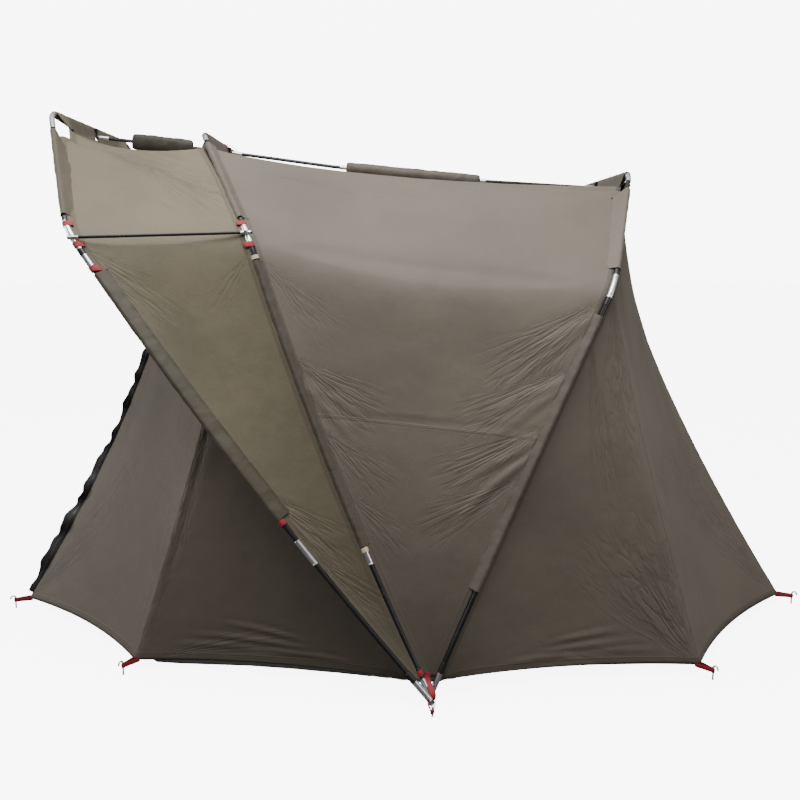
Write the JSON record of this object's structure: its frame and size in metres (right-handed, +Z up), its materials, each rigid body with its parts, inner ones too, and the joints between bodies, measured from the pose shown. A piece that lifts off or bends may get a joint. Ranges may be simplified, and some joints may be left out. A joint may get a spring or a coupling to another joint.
{
  "type": "fishing tent",
  "caption": "Three-rib fishing tent with a jutting hood, sloping pegged skirts, a mesh door and a groundsheet",
  "frame": {"origin": "middle of the pitched tent's footprint, on the ground", "axes": "+Z up, -X out of the door, +X to the rear wall, +Y to the far side in the picture"},
  "size_m": [3.2062, 2.726, 1.9362],
  "materials": {
    "canopy_cloth": "taupe coated polyester",
    "hood_cloth": "olive beige coated polyester",
    "black_mesh": "black insect mesh",
    "groundsheet": "pale grey coated cloth",
    "red_webbing": "red webbing loops on steel pegs",
    "black_pole": "black coated tube",
    "steel": "bright plated steel"
  },
  "bodies": {
    "root": {"front_leg_near": "black_pole", "front_leg_far": "black_pole", "middle_leg_near": "black_pole", "middle_leg_far": "black_pole", "rear_leg_near": "black_pole", "rear_leg_far": "black_pole", "hub_pin_near": "steel", "hub_pin_far": "steel", "side_bar_near": "black_pole", "side_bar_far": "black_pole", "main_lower_side_near": "canopy_cloth", "main_lower_side_far": "canopy_cloth", "main_upper_side_near": "canopy_cloth", "main_upper_side_far": "canopy_cloth", "hood_lower_side_near": "hood_cloth", "hood_lower_side_far": "hood_cloth", "hood_upper_side_near": "hood_cloth", "hood_upper_side_far": "hood_cloth", "front_side_near": "canopy_cloth", "front_side_far": "canopy_cloth", "front_panel_near": "canopy_cloth", "front_panel_far": "canopy_cloth", "rear_side_near": "canopy_cloth", "rear_side_far": "canopy_cloth", "rear_panel_near": "canopy_cloth", "rear_panel_far": "canopy_cloth", "front_corner_peg_near": "red_webbing", "front_corner_peg_far": "red_webbing", "front_end_peg_near": "red_webbing", "front_end_peg_far": "red_webbing", "rear_corner_peg_near": "red_webbing", "rear_corner_peg_far": "red_webbing", "rear_end_peg_near": "red_webbing", "rear_end_peg_far": "red_webbing", "hub_peg_near": "red_webbing", "hub_peg_far": "red_webbing", "front_bar_sleeve_near": "canopy_cloth", "front_bar_sleeve_far": "canopy_cloth", "middle_bar_sleeve_near": "canopy_cloth", "middle_bar_sleeve_far": "canopy_cloth", "rear_bar_sleeve_near": "canopy_cloth", "rear_bar_sleeve_far": "canopy_cloth", "front_crown": "black_pole", "middle_crown": "black_pole", "rear_crown": "black_pole", "front_ridge_bar": "black_pole", "rear_ridge_bar": "black_pole", "front_ridge_sleeve": "canopy_cloth", "rear_ridge_sleeve": "canopy_cloth", "main_roof": "canopy_cloth", "hood_roof": "hood_cloth", "mesh_door": "black_mesh", "rear_wall": "canopy_cloth", "groundsheet": "groundsheet"}
  },
  "joints": []
}
